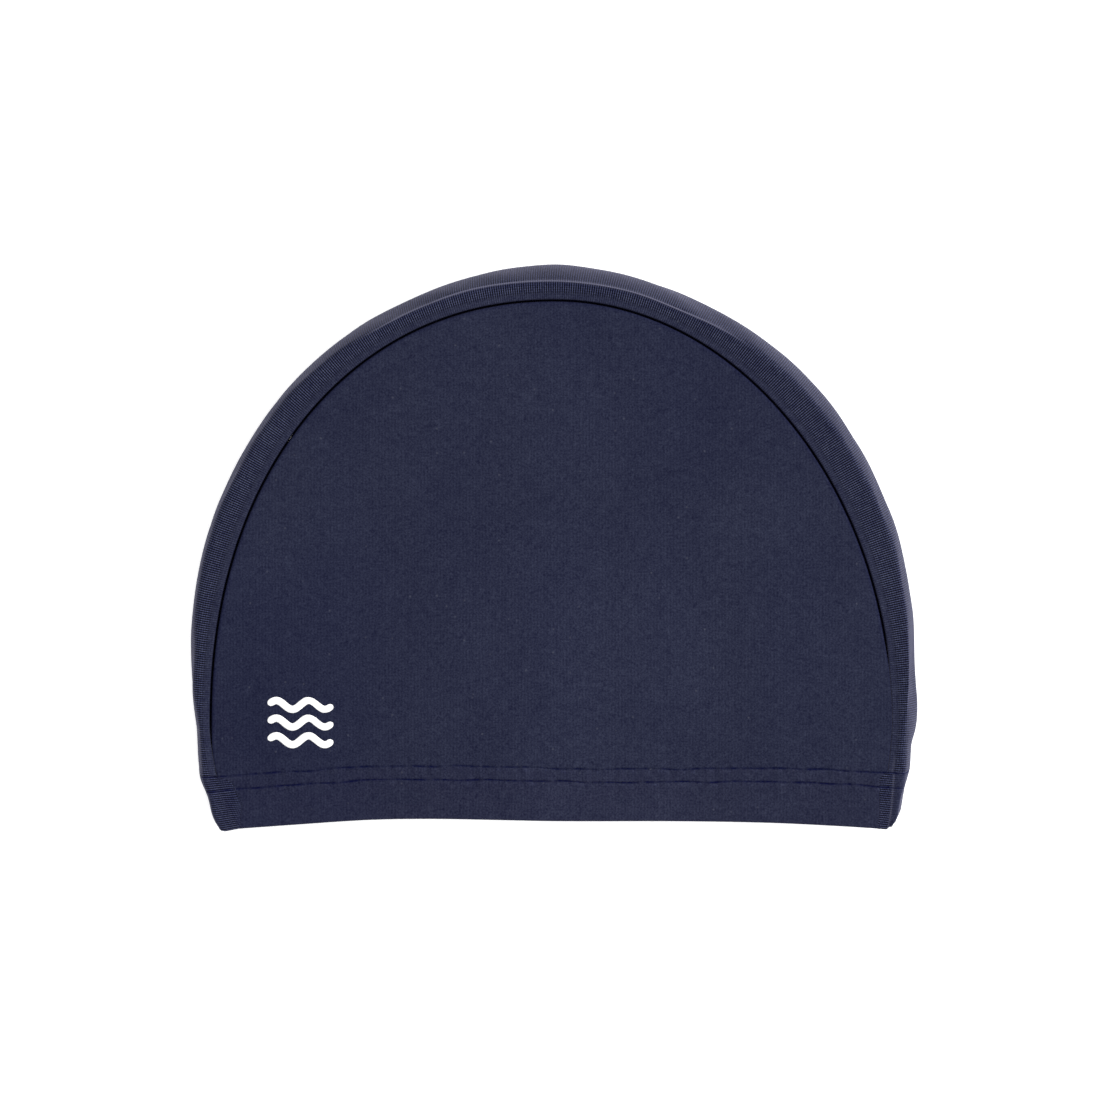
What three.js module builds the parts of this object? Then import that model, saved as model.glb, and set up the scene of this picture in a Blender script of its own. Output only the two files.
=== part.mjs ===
import * as THREE from 'three';
import { mergeVertices } from 'three/addons/utils/BufferGeometryUtils.js';

// A sewn knit swim cap that lies on its side, in millimetres. X runs along the rim, Y from the rim up to
// the crown, and Z up from the floor through both sides of the cap. The origin is under the middle of it.
// Two D-shaped side panels are joined by a centre band, and a doubled hem runs round the opening.

// Cloth
const CLOTH = 1.2;
const SEAM_GAP = 0.3;
const SEAM_DROP = 0.5;      // how far a sewn edge sinks below the cloth beside it
const SEAM_ROLL = 1.6;      // how far back from the edge the cloth starts to sink
const RIM_ROUND = 0.6;      // how much each face of the hem turns in at its folded rim

// How the cap lies: the near side is a plane that rises from the rim to the crown and sags in its middle
const RIM_HEIGHT = 15;
const CROWN_HEIGHT = 26;
const NEAR_SAG = 2.5;
const SAG_POWER = 3;        // how late towards the crown the sag fades
const FOLD_RIDGE = 0.8;     // how far the folded edge of the band stands above the seam
const WALL_UPPER = 0.66;    // heights of the two points that shape the band's wall, as shares of its own
const WALL_LOWER = 0.2;

// How far the far side lies to the right of the near one, and towards the crown
const FAR_SHIFT = new THREE.Vector2(1.6, 2.6);

// The seam round the near panel, in plan: a quarter of a superellipse each side, on two leaning legs
const RIM_LINE = -95.6;
const SPRING_LINE = -59.6;
const CROWN_LINE = 83.9;
const SEAM_MIDDLE = 0.7;
const LEFT = { side: -1, reach: 117.2, power: 2.14, lean: 9.9 };
const RIGHT = { side: 1, reach: 114.4, power: 1.98, lean: 5.0 };
const LEAN_POWER = 1.5;
const LEG_SHARE = 0.08;     // the part of the curve's own parameter that each leg takes
const CURVE_STEPS = 2000;

// The band from the left end of the rim over the crown to the right end. along is the share of the seam's
// length, reach how far the widest edge stands outside the seam, fold how far inside that edge the near
// fold lies.
const BAND_SECTIONS = [
  { along: 0.00, reach: 6.8, fold: 0.3 },
  { along: 0.04, reach: 6.8, fold: 0.3 },
  { along: 0.07, reach: 5.2, fold: 0.4 },
  { along: 0.10, reach: 6.4, fold: 0.5 },
  { along: 0.15, reach: 9.0, fold: 0.6 },
  { along: 0.20, reach: 10.6, fold: 0.8 },
  { along: 0.30, reach: 11.3, fold: 1.6 },
  { along: 0.35, reach: 11.0, fold: 2.6 },
  { along: 0.40, reach: 10.4, fold: 3.4 },
  { along: 0.45, reach: 11.0, fold: 4.5 },
  { along: 0.50, reach: 12.2, fold: 5.1 },
  { along: 0.55, reach: 11.5, fold: 4.9 },
  { along: 0.60, reach: 11.9, fold: 4.3 },
  { along: 0.65, reach: 13.3, fold: 3.8 },
  { along: 0.70, reach: 14.4, fold: 3.4 },
  { along: 0.75, reach: 14.0, fold: 3.0 },
  { along: 0.80, reach: 12.9, fold: 2.6 },
  { along: 0.85, reach: 10.6, fold: 2.1 },
  { along: 0.90, reach: 8.4, fold: 2.6 },
  { along: 0.92, reach: 8.0, fold: 2.8 },
  { along: 0.94, reach: 7.1, fold: 1.0 },
  { along: 0.96, reach: 6.8, fold: 4.4 },
  { along: 1.00, reach: 5.6, fold: 2.2 },
];

// The hem across the near side: x, and the height in Y of the folded rim and of the upper stitch row
const HEM_SHARE = 0.04;
const HEM_SECTIONS = [
  { x: -114, rim: -96.2, top: -77.6 },
  { x: -90, rim: -94.7, top: -76.0 },
  { x: -62, rim: -92.9, top: -74.2 },
  { x: -38, rim: -92.6, top: -74.0 },
  { x: 0, rim: -93.3, top: -74.8 },
  { x: 40, rim: -93.3, top: -75.1 },
  { x: 72, rim: -93.8, top: -74.8 },
  { x: 95, rim: -94.8, top: -75.3 },
  { x: 114, rim: -96.0, top: -76.4 },
];

// How finely the pieces are divided
const STATIONS = 48;
const HEM_STEPS = 18;
const WALL_STEPS = 8;
const PANEL_MIDDLE = new THREE.Vector2(0.7, -8);
const PANEL_RINGS = [0, 0.3, 0.6, 0.82];
const WELD = 1e-4;          // points closer than this are one
const HEM_LEVELS = [
  { up: 1, front: SEAM_DROP, back: 2 * CLOTH },
  { up: 0.9, front: 0, back: 2 * CLOTH },
  { up: 0.5, front: 0, back: 2 * CLOTH },
  { up: 0.08, front: 0, back: 2 * CLOTH },
  { up: 0, front: RIM_ROUND, back: 2 * CLOTH - RIM_ROUND },
];

const PANEL_NAVY = 0x2d3044;
const BAND_NAVY = 0x2b2d42;
const HEM_NAVY = 0x2f3246;
const CLOTH_ROUGHNESS = 0.8;

const mix = THREE.MathUtils.lerp;

// The value of one column of a table at a place between its rows, on a smooth curve through them
function tableValue(rows, key, column, place) {
  let next = rows.findIndex((row) => row[key] >= place);
  next = Math.max(1, next < 0 ? rows.length - 1 : next);
  const slope = (i) => {
    const a = rows[Math.max(0, i - 1)];
    const b = rows[Math.min(rows.length - 1, i + 1)];
    return (b[column] - a[column]) / (b[key] - a[key]);
  };
  const from = rows[next - 1];
  const to = rows[next];
  const span = to[key] - from[key];
  const t = THREE.MathUtils.clamp((place - from[key]) / span, 0, 1);
  const ease = t * t * (3 - 2 * t);
  const start = t * (1 - t) * (1 - t) * span * slope(next - 1);
  const end = t * t * (t - 1) * span * slope(next);
  return mix(from[column], to[column], ease) + start + end;
}

// The near seam in plan, from the left end of the rim over the crown to the right end
class SeamCurve extends THREE.Curve {
  getPoint(t, target = new THREE.Vector2()) {
    const half = t < 0.5 ? LEFT : RIGHT;
    const fromEnd = Math.min(t, 1 - t);
    if (fromEnd < LEG_SHARE) {
      const down = 1 - fromEnd / LEG_SHARE;
      const x = half.reach - half.lean * down ** LEAN_POWER;
      return target.set(SEAM_MIDDLE + half.side * x, mix(SPRING_LINE, RIM_LINE, down));
    }
    const angle = (Math.PI / 2) * (fromEnd - LEG_SHARE) / (0.5 - LEG_SHARE);
    const x = half.reach * Math.cos(angle) ** (2 / half.power);
    const y = Math.sin(angle) ** (2 / half.power);
    return target.set(SEAM_MIDDLE + half.side * x, mix(SPRING_LINE, CROWN_LINE, y));
  }
}

const nearSeam = new SeamCurve();
nearSeam.arcLengthDivisions = CURVE_STEPS;

// The direction in plan that points away from the panel. On the legs it leans half as much as the seam.
function outward(along) {
  const step = 1 / CURVE_STEPS;
  const before = nearSeam.getPointAt(Math.max(0, along - step));
  const after = nearSeam.getPointAt(Math.min(1, along + step));
  const direction = new THREE.Vector2(before.y - after.y, after.x - before.x).normalize();
  if (nearSeam.getPointAt(along).y < SPRING_LINE) {
    direction.y /= 2;
    direction.normalize();
  }
  return direction;
}

// Height above the floor of the near seam, where it passes y
function seamHeight(y) {
  return mix(RIM_HEIGHT, CROWN_HEIGHT, (y - RIM_LINE) / (CROWN_LINE - RIM_LINE));
}

// Height of the near side between its seams, where the cloth hangs lower. The sag is nothing at the seam.
function nearHeight(x, y) {
  const half = x < SEAM_MIDDLE ? LEFT : RIGHT;
  const up = Math.max(0, (y - SPRING_LINE) / (CROWN_LINE - SPRING_LINE));
  const down = Math.max(0, (y - SPRING_LINE) / (RIM_LINE - SPRING_LINE));
  const halfWidth = half.reach * Math.max(0, 1 - up ** half.power) ** (1 / half.power)
    - half.lean * down ** LEAN_POWER;
  const sideways = Math.min(1, Math.abs(x - SEAM_MIDDLE) / Math.max(halfWidth, SEAM_ROLL));
  return seamHeight(y) - NEAR_SAG * (1 - sideways ** 2) * (1 - up ** SAG_POWER);
}

// One cross section of the band: points from the near seam out over the near fold, down the bulging wall
// to the far fold, and in along the floor to the far seam. Points on a sewn edge are marked. The middle of
// a cubic curve is an eighth of its two ends and six eighths of its shaping points, which gives the bulge.
function bandSection(along, edgeGap) {
  const seam = nearSeam.getPointAt(along);
  const out = outward(along);
  const reach = tableValue(BAND_SECTIONS, 'along', 'reach', along);
  const strip = reach - tableValue(BAND_SECTIONS, 'along', 'fold', along);
  const farIn = FAR_SHIFT.dot(out);
  const top = seamHeight(seam.y + out.y * strip) + FOLD_RIDGE;
  const bulge = (8 * reach - strip - (strip + farIn)) / 6;
  const points = [];

  const add = (distance, height, far, sewn = false) => {
    const x = seam.x + out.x * distance + far * (FAR_SHIFT.x - out.x * farIn);
    const y = seam.y + out.y * distance + far * (FAR_SHIFT.y - out.y * farIn);
    points.push({ place: new THREE.Vector3(x, y, height), sewn });
  };

  add(edgeGap, seamHeight(seam.y), 0, edgeGap > 0);
  add(SEAM_ROLL, mix(seamHeight(seam.y), top, SEAM_ROLL / strip), 0);
  const wall = new THREE.CubicBezierCurve(
    new THREE.Vector2(strip, top),
    new THREE.Vector2(bulge, top * WALL_UPPER),
    new THREE.Vector2(bulge, top * WALL_LOWER),
    new THREE.Vector2(strip + farIn, 0),
  );
  for (let i = 0; i <= WALL_STEPS; i += 1) {
    const spot = wall.getPoint(i / WALL_STEPS);
    add(spot.x, spot.y, i / WALL_STEPS);
  }
  add(farIn + SEAM_ROLL, 0, 1);
  add(farIn + edgeGap, 0, 1, edgeGap > 0);
  return points;
}

// A point of the near side's hem: across is 0 at the left seam and 1 at the right one, up is 0 at the rim
// and 1 at the upper stitch row
function hemLine(across, up) {
  const left = nearSeam.getPointAt(HEM_SHARE * up);
  const right = nearSeam.getPointAt(1 - HEM_SHARE * up);
  const rowAt = (x) => {
    const rim = tableValue(HEM_SECTIONS, 'x', 'rim', x);
    return mix(rim, tableValue(HEM_SECTIONS, 'x', 'top', x), up);
  };
  const x = mix(left.x, right.x, across);
  return new THREE.Vector2(x, rowAt(x) + mix(left.y - rowAt(left.x), right.y - rowAt(right.x), across));
}

// A closed wall of cloth over a grid of outer points, whose rows and columns turn anticlockwise seen from
// outside. front and back say how far below the grid the wall's two faces lie. On a ring the last column
// meets the first. Where the first row is one point, pole is the direction that the wall faces there.
function clothWall(grid, front, back, { ring = false, pole = null } = {}) {
  const rows = grid.length;
  const columns = grid[0].length;
  const at = (i, j) => grid[i][ring ? (j + columns) % columns : THREE.MathUtils.clamp(j, 0, columns - 1)];
  const faces = [[], []];
  grid.forEach((row, i) => {
    const facing = row.map((point, j) => {
      const lengthways = at(Math.min(rows - 1, i + 1), j).clone().sub(at(Math.max(0, i - 1), j));
      const crossways = at(i, j + 1).clone().sub(at(i, j - 1));
      return pole && i === 0 ? pole : lengthways.cross(crossways).normalize();
    });
    faces[0].push(row.map((point, j) => point.clone().addScaledVector(facing[j], -front(i, j))));
    faces[1].push(row.map((point, j) => point.clone().addScaledVector(facing[j], -back(i, j))));
  });

  const corners = [];
  const triangle = (a, b, c) => {
    if (!a.equals(b) && !b.equals(c) && !c.equals(a)) {
      corners.push(a, b, c);
    }
  };
  const quad = (a, b, c, d) => {
    triangle(a, b, c);
    triangle(a, c, d);
  };
  const [outer, inner] = faces;
  const lastColumn = ring ? columns : columns - 1;
  for (let i = 0; i < rows - 1; i += 1) {
    for (let j = 0; j < lastColumn; j += 1) {
      const k = (j + 1) % columns;
      quad(outer[i][j], outer[i + 1][j], outer[i + 1][k], outer[i][k]);
      quad(inner[i][j], inner[i][k], inner[i + 1][k], inner[i + 1][j]);
    }
  }
  for (let j = 0; j < lastColumn; j += 1) {
    const k = (j + 1) % columns;
    if (!pole) {
      quad(outer[0][j], outer[0][k], inner[0][k], inner[0][j]);
    }
    quad(outer[rows - 1][k], outer[rows - 1][j], inner[rows - 1][j], inner[rows - 1][k]);
  }
  for (let i = 0; i < rows - 1 && !ring; i += 1) {
    const j = columns - 1;
    quad(outer[i + 1][0], outer[i][0], inner[i][0], inner[i + 1][0]);
    quad(outer[i][j], outer[i + 1][j], inner[i + 1][j], inner[i][j]);
  }
  const geometry = new THREE.BufferGeometry().setFromPoints(corners);
  return mergeVertices(geometry, WELD);
}

// The centre band, from the top of the hem at the left over the crown to the hem at the right
function centreBand() {
  const end = HEM_SHARE + SEAM_GAP / 2 / nearSeam.getLength();
  const sections = [];
  for (let i = 0; i <= STATIONS; i += 1) {
    sections.push(bandSection(mix(end, 1 - end, i / STATIONS), SEAM_GAP / 2));
  }
  const sunk = (i, j) => (sections[i][j].sewn ? SEAM_DROP : 0);
  return clothWall(
    sections.map((section) => section.map((point) => point.place)),
    sunk,
    (i, j) => sunk(i, j) + CLOTH,
  );
}

// A side panel in rings from its middle to its edge. The edge follows the seam from the left over the
// crown to the right, and goes back along the top of the hem.
function sidePanel(far) {
  const shift = far ? FAR_SHIFT : new THREE.Vector2();
  const end = HEM_SHARE + SEAM_GAP / 2 / nearSeam.getLength();
  const edge = [];
  for (let i = 0; i <= STATIONS; i += 1) {
    const along = mix(end, 1 - end, i / STATIONS);
    edge.push(nearSeam.getPointAt(along).addScaledVector(outward(along), -SEAM_GAP / 2));
  }
  for (let i = HEM_STEPS - 1; i > 0; i -= 1) {
    const spot = hemLine(i / HEM_STEPS, 1);
    edge.push(spot.setY(spot.y + SEAM_GAP / 2));
  }
  if (!far) {
    edge.reverse();
  }
  const ringAt = (share) => edge.map((spot) => {
    const place = PANEL_MIDDLE.clone().lerp(spot, share).add(shift);
    return new THREE.Vector3(place.x, place.y, far ? 0 : nearHeight(place.x, place.y));
  });
  const grid = PANEL_RINGS.map(ringAt);
  grid.push(ringAt(1 - SEAM_ROLL / LEFT.reach), ringAt(1));
  const sunk = (i) => (i === grid.length - 1 ? SEAM_DROP : 0);
  const pole = new THREE.Vector3(0, 0, far ? -1 : 1);
  return clothWall(grid, sunk, (i) => sunk(i) + CLOTH, { ring: true, pole });
}

// The doubled hem, one ring for each level from the upper stitch row down to the folded rim: across the
// near side, down the band's right end, back under the far side, and up the band's left end
function hemRing() {
  const grid = HEM_LEVELS.map(({ up }) => {
    const across = [];
    for (let i = 1; i < HEM_STEPS; i += 1) {
      const spot = hemLine(i / HEM_STEPS, up);
      across.push(new THREE.Vector3(spot.x, spot.y, nearHeight(spot.x, spot.y)));
    }
    const under = across.map(({ x, y }) => new THREE.Vector3(x + FAR_SHIFT.x, y + FAR_SHIFT.y, 0));
    const right = bandSection(1 - HEM_SHARE * up, 0).map((point) => point.place);
    const left = bandSection(HEM_SHARE * up, 0).map((point) => point.place);
    const level = [...across, ...right, ...under.reverse(), ...left.reverse()];
    const lower = up === 1 ? SEAM_GAP / 2 : 0;
    return level.map((point) => point.setY(point.y - lower));
  });
  return clothWall(grid, (i) => HEM_LEVELS[i].front, (i) => HEM_LEVELS[i].back, { ring: true });
}

function clothPiece(name, geometry, colour) {
  geometry.computeVertexNormals();
  const knit = new THREE.MeshStandardMaterial({ color: colour, roughness: CLOTH_ROUGHNESS, metalness: 0 });
  const mesh = new THREE.Mesh(geometry, knit);
  mesh.name = name;
  return mesh;
}

const group = new THREE.Group();
group.add(
  clothPiece('side_panel_near', sidePanel(false), PANEL_NAVY),
  clothPiece('side_panel_far', sidePanel(true), PANEL_NAVY),
  clothPiece('centre_band', centreBand(), BAND_NAVY),
  clothPiece('hem', hemRing(), HEM_NAVY),
);

// Everything is moved so that the origin lies on the floor under the middle of the cap
const extent = new THREE.Box3().setFromObject(group);
const middle = extent.getCenter(new THREE.Vector3());
group.position.set(-middle.x, -middle.y, -extent.min.z);

export default group;
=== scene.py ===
import bmesh
import bpy
import numpy as np
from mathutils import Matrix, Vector


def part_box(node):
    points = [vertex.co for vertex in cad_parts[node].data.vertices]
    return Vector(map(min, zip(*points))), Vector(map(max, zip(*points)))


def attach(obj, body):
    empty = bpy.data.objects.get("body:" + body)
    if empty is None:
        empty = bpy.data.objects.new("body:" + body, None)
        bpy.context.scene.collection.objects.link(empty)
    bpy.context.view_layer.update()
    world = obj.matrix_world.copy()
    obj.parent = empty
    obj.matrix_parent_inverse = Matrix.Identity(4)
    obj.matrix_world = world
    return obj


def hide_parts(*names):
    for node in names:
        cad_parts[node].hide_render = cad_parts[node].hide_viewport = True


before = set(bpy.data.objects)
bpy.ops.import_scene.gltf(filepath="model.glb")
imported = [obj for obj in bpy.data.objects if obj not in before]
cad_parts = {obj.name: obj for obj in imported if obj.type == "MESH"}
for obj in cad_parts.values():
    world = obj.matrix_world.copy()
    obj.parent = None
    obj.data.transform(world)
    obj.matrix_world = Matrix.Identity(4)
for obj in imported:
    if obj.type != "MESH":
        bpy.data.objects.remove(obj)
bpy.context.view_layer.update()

# A sewn knit swim cap that lies on its far side and is seen from straight above. Two D-shaped side panels
# are joined by a centre band, and a doubled hem runs round the opening. Plans are drawn in metres, with X
# along the rim and Y from the rim up to the crown, and are moved onto the frame when a mesh is made.

MM = 0.001

# Cloth and how it is sewn
CLOTH = 0.6 * MM
ALLOWANCE = 3.0 * MM  # how deep the sewn edges are turned in behind a seam
SEWN_DEPTHS = np.array([0.2, 0.86, 1])  # shares of that depth; the two edges meet at the last one
PLY_GAP = 0.06 * MM  # between the two plies of the hem
SEAM_DEPTH = 0.6 * MM  # how far the cloth rolls down into a seam
SLOT_OPEN, SLOT_SHUT = 0.39 * MM, 0.02 * MM  # half the width between the two sewn edges
ROLL_OPEN, ROLL_SHUT = 0.60 * MM, 0.12 * MM  # how wide the roll beside the seam is
OPENS_LEFT = (0.052, 0.080)  # where along the seam it opens, and where it closes again
SHUTS_RIGHT = (0.862, 0.892)

# How the cap lies
RIM_HEIGHT = 15 * MM
CROWN_HEIGHT = 26 * MM
NEAR_SAG = 2.5 * MM
SAG_POWER = 3
FOLD_RIDGE = 0.8 * MM
RIDGE_POWER = 1.7
WALL_UPPER, WALL_LOWER = 0.66, 0.2  # heights of the wall's shaping points, as shares of its own
WALL_SLACK = 0.25 * MM  # how far the loose wall dents above and below its widest line
FAR_EASE = 1.6 * MM
FOLD_LINE_WIDTH = 0.26 * MM  # half the width of the paler line along the sharp fold: a painted highlight, and some wear
HIGHLIGHT_AND_WEAR_FROM, HIGHLIGHT_AND_WEAR_TO = (0.36, 0.40), (0.65, 0.60)  # where along the seam that line comes and goes
ROLL_POINTS, FLAT_POINTS, FOLD_POINTS, WALL_POINTS = 7, 10, 9, 24  # across the band, part by part
FOLD_COLUMN = len(SEWN_DEPTHS) + ROLL_POINTS + FLAT_POINTS + FOLD_POINTS // 2  # lies on the near fold
FAR_COLUMN = FOLD_COLUMN + WALL_POINTS + 2 * (FOLD_POINTS // 2)  # and this one on the far fold
FAR_SHIFT = np.array([1.6, 2.6]) * MM  # how far the far panel lies out of line with the near one
RIPPLE = 0.10 * MM

# The seam round the near panel: a quarter of a superellipse each side, on two leaning legs. turn is how
# much of its slope in Y the band's direction keeps on a leg.
RIM_LINE = -95.6 * MM
SPRING_LINE = -59.6 * MM
CROWN_LINE = 83.9 * MM
SEAM_MIDDLE = 0.7 * MM
LEFT = {"side": -1, "reach": 117.2 * MM, "power": 2.14, "lean": 9.9 * MM, "bend": 2.2, "turn": 0.3}
RIGHT = {"side": 1, "reach": 114.4 * MM, "power": 1.98, "lean": 5.0 * MM, "bend": 1.5, "turn": 0.5}
LEG_SHARE = 0.08

# The band in millimetres, from the left end of the rim over the crown to the right end. along is the
# share of the seam's length, reach how far the widest edge stands outside the seam, fold how far inside
# that edge the near fold lies, and ease how far the fold is rounded to each side.
BAND_COLUMNS = ("along", "reach", "fold", "ease")
BAND_SECTIONS = [
    (0.000, 6.6, 0.4, 1.2),
    (0.010, 6.7, 0.4, 1.2),
    (0.025, 5.5, 0.5, 1.2),
    (0.037, 5.9, 0.9, 1.5),
    (0.048, 5.4, 1.4, 1.9),
    (0.070, 4.7, 1.3, 1.9),
    (0.085, 5.4, 0.9, 1.6),
    (0.100, 6.4, 0.9, 1.7),
    (0.120, 7.7, 1.6, 2.2),
    (0.150, 9.2, 1.4, 2.2),
    (0.200, 10.7, 1.4, 2.0),
    (0.300, 11.2, 2.2, 1.8),
    (0.350, 10.9, 2.8, 1.5),
    (0.385, 10.4, 3.6, 0.8),
    (0.420, 10.6, 4.0, 0.4),
    (0.450, 11.2, 4.3, 0.4),
    (0.480, 11.8, 5.0, 0.4),
    (0.505, 12.2, 5.5, 0.4),
    (0.530, 11.8, 5.3, 0.4),
    (0.560, 11.7, 5.1, 0.4),
    (0.590, 11.6, 5.1, 0.5),
    (0.620, 12.7, 4.9, 0.8),
    (0.650, 13.5, 4.3, 1.6),
    (0.700, 14.6, 4.0, 1.5),
    (0.750, 14.2, 3.4, 1.5),
    (0.800, 13.4, 2.8, 1.2),
    (0.850, 10.9, 2.2, 0.9),
    (0.870, 9.5, 1.9, 0.6),
    (0.885, 8.9, 2.1, 0.5),
    (0.900, 8.8, 2.7, 0.5),
    (0.915, 8.9, 3.7, 0.7),
    (0.930, 8.3, 3.5, 1.8),
    (0.942, 7.2, 2.3, 2.0),
    (0.960, 7.4, 1.3, 1.8),
    (0.975, 6.5, 0.7, 1.5),
    (1.000, 6.5, 0.4, 1.2),
]

# The hem across the near side in millimetres: x, and the height in Y of the rim and the upper stitch row
HEM_COLUMNS = ("x", "rim", "top")
HEM_SECTIONS = [
    (-114, -96.4, -77.6),
    (-90, -94.7, -76.0),
    (-62, -92.9, -74.2),
    (-38, -92.6, -74.0),
    (0, -93.3, -74.8),
    (40, -93.3, -75.1),
    (72, -93.8, -74.8),
    (95, -94.8, -75.3),
    (114, -96.0, -76.4),
]
# How far inside the leg's line the band's ribs reach in the hem, in millimetres; up is 0 at the rim and 1
# at the upper stitch row
HEM_SEAM_COLUMNS = ("up", "left", "right")
HEM_SEAM = [
    (0.00, 0.3, 0.1),
    (0.25, 2.8, 0.3),
    (0.50, 5.0, 1.2),
    (0.70, 4.4, 1.8),
    (0.88, 4.2, 2.3),
    (1.00, 0.1, 0.1),
]
STRIP_SHARES = np.array([0, 0.5, 0.9, 0.97, 1])  # points from the leg's line in to that seam
STRIP_SINKS = np.array([0, 0, 0, 0.35, 1])  # and how far each sinks into it
HEM_SINK = 0.35  # share of the seam's depth that shows in the hem
HEM_CREASE = (3.9 * MM, 2.2 * MM)  # how far outside the right seam a crease lies, at the rim and the row
CREASE_RISE = (0.944, 0.952)  # where along the seam that crease fades out above the hem
CREASE_HIGHLIGHT = (0.35, 0.2)  # how strong the painted highlight along the crease is in the hem and above it
HEM_RIBS = 0.85  # how much of the ribs shows in the hem
# Past the crease the ribs fade by a share over the first distance, and come back between the other two
CALM_SHARE, CALM = 0.85, (0.8 * MM, 7 * MM, 4.5 * MM)
# The rim's right end is lifted in two steps: distances from the seam between which each grows, and its
# height. CORNER_UP is where up the hem that ends.
CORNER_LIFTS = ((2.9 * MM, 4.1 * MM, 1.0 * MM), (4.4 * MM, 6.4 * MM, 1.5 * MM))
CORNER_UP = 0.28
HEM_SHARE = 0.04
HEM_HEIGHT = 18.7 * MM
LOWER_ROW = 0.74  # height of the lower stitch row, as a share of the upper one's
HEM_EDGE = 1.07  # height of the turned-up edge inside

# Stitches
STITCH_PITCH = 2.0 * MM
STITCH_LENGTH = 1.75 * MM
THREAD = 0.20 * MM
ROW_DEPTH = 0.28 * MM  # how deep the stitches pull the cloth in
ROW_WIDTH = 0.32 * MM
# Strength of the painted shade in a row's groove
ROW_DARK = 0.90
ROW_STRENGTH = (0.62, 0.5, 0.25)  # how strongly a row pulls: at rest, by chance, and more near its ends
ROW_LIMITS = (0.12, 1.25)
ROW_WANDER = 0.20 * MM  # how far the rows stray from a straight course
ROW_ENDS = (70 * MM, 108 * MM)  # distances from the middle between which the rows grow stronger
PUCKER = 0.12 * MM
PUCKER_WIDTH = 2.4 * MM
PALE_PLACE, PALE_WIDTH, PALE_TONE = 0.95 * MM, 0.4 * MM, 0.28  # painted highlights on the puckers just below a row
ROW_SHIFT = 0.3  # makes the two rows uneven in different places
LOOP_EASE = 4  # points to each side over which a looper's direction is evened out

# Knit
WALE_PITCH = 1.1 * MM
COURSE_PITCH = 0.8 * MM
RIB_PITCH = 0.74 * MM
WALE_DEPTH, BAND_RIB_DEPTH, HEM_RIB_DEPTH = 0.07, 1.90, 1.60  # how strong the painted light and shade on the crests and valleys of each is
RIBS_START = (1.8 * MM, 3.4 * MM)  # distances from a seam between which the band's ribs open up
RIB_LEAST, RIB_LOSS = 0.15, 0.25  # how much of them shows beside a seam, and is lost beyond the fold
PALE_STRIP = (0.9 * MM, 0.9 * MM, 0.20)  # place, half width and strength of the painted highlight on the strip beside a seam
DARK_STRIP = (0.9 * MM, 0.7 * MM, 0.16)  # and of the painted shade just inside the sharp fold
LEG_TONE = 0.14  # how much paler the band is painted down the left leg, as painted light
LEG_PALE = (0.13, 0.07)  # where along the seam that grows
FLARE = (0.893, 0.903, 0.945, 0.930)  # where along the seam the right leg flares out, with painted light on its wall past the fold
FLARE_LIGHT = 0.16
# Past the fold that painted light grows over the first distance, and fades between the other two
FLARE_WIDTHS = (0.5 * MM, 7 * MM, 3 * MM)

# Painted shade down in a seam: strength, and the distances from it between which that grows
BAND_DEEP = (0.95, 0.3 * MM, -0.85 * MM)
PANEL_DEEP = (0.73, 0.8 * MM, 0.1 * MM)
PANEL_DIM = (0.22, 2.0 * MM, 0.5 * MM)
SHUT_SHARE = 0.25  # share of it that is left where the seam is shut

# Broad, soft differences of light over the near side: place and half width in X, strength, and the heights
# in Y between which each grows
BROAD_TONES = [
    (2 * MM, 42 * MM, 0.08, 25 * MM, -15 * MM),
    (-92 * MM, 45 * MM, -0.13, 25 * MM, -20 * MM),
    (38 * MM, 40 * MM, -0.05, 10 * MM, 45 * MM),
    (85 * MM, 24 * MM, -0.03, 20 * MM, -20 * MM),
]

# Print: three plain waves
PRINT_PLACE = np.array([-86.0, -59.5]) * MM
WAVE_LENGTH, WAVE_HEIGHT, WAVE_WIDTH, WAVE_STEP = 11 * MM, 1.5 * MM, 2.5 * MM, 6.0 * MM
WAVES = 3
FILM = 0.07 * MM

# How finely the pieces are divided
SEAM_SAMPLES = 4000
BAND_STATIONS = 300
HEM_STEPS = 220
PANEL_MIDDLE = np.array([0.7, -8.0]) * MM
PANEL_RINGS = 21
# Rings near a panel's edge: distances in millimetres from the stitch row and from the seam
EDGE_RINGS = ((5, 5), (3.2, 3.2), (2, 2.2), (1.2, 1.6), (0.8, 1.2), (0.5, 0.9), (0.3, 0.7))
BAND_BY_ROW = np.array([0.15, 0.3, 0.45, 0.7, 1.0]) * MM  # distances of points beside a stitch row
HEM_BY_ROW = np.array([0, 0.15, 0.3, 0.45, 0.65, 0.9, 1.3, 1.9]) * MM

# Photograph
PHOTO_PIXELS = 1100
PIXEL = 0.34 * MM
PLAN_PIXEL = (553.5, 547.5)  # the pixel at the plan's origin
CAMERA_DISTANCE = 10.0
SIGHT_HEIGHT = 12 * MM  # height of the cap's widest outline, where a pixel has its stated size
FLOOR_LEVEL = -0.16 * MM  # just below the threads of the far side

PANEL_NAVY = (0.0122, 0.0150, 0.0332)
BAND_NAVY = (0.0121, 0.0144, 0.0308)
HEM_NAVY = (0.0126, 0.0151, 0.0334)
# Colour of the painted highlight and wear along the sharp fold, of the painted highlight on the crease and of
# the painted light on the flared right leg
HIGHLIGHT_AND_WEAR_NAVY = (0.100, 0.100, 0.145)
SHADOW_NAVY = (0.0014, 0.0024, 0.0250)  # painted shadow colour, mixed in where the cloth lies in shade, in the seams and rows
FIBRE_DEEP, FIBRE_PALE = (0.00, 0.02, 0.36), (2.15, 2.02, 1.64)  # the least and most lit fibres, as shares


def mix(a, b, share):
    return a + (b - a) * share


def smooth(start, end, value):
    t = np.clip((value - start) / (end - start), 0, 1)
    return t * t * (3 - 2 * t)


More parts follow.
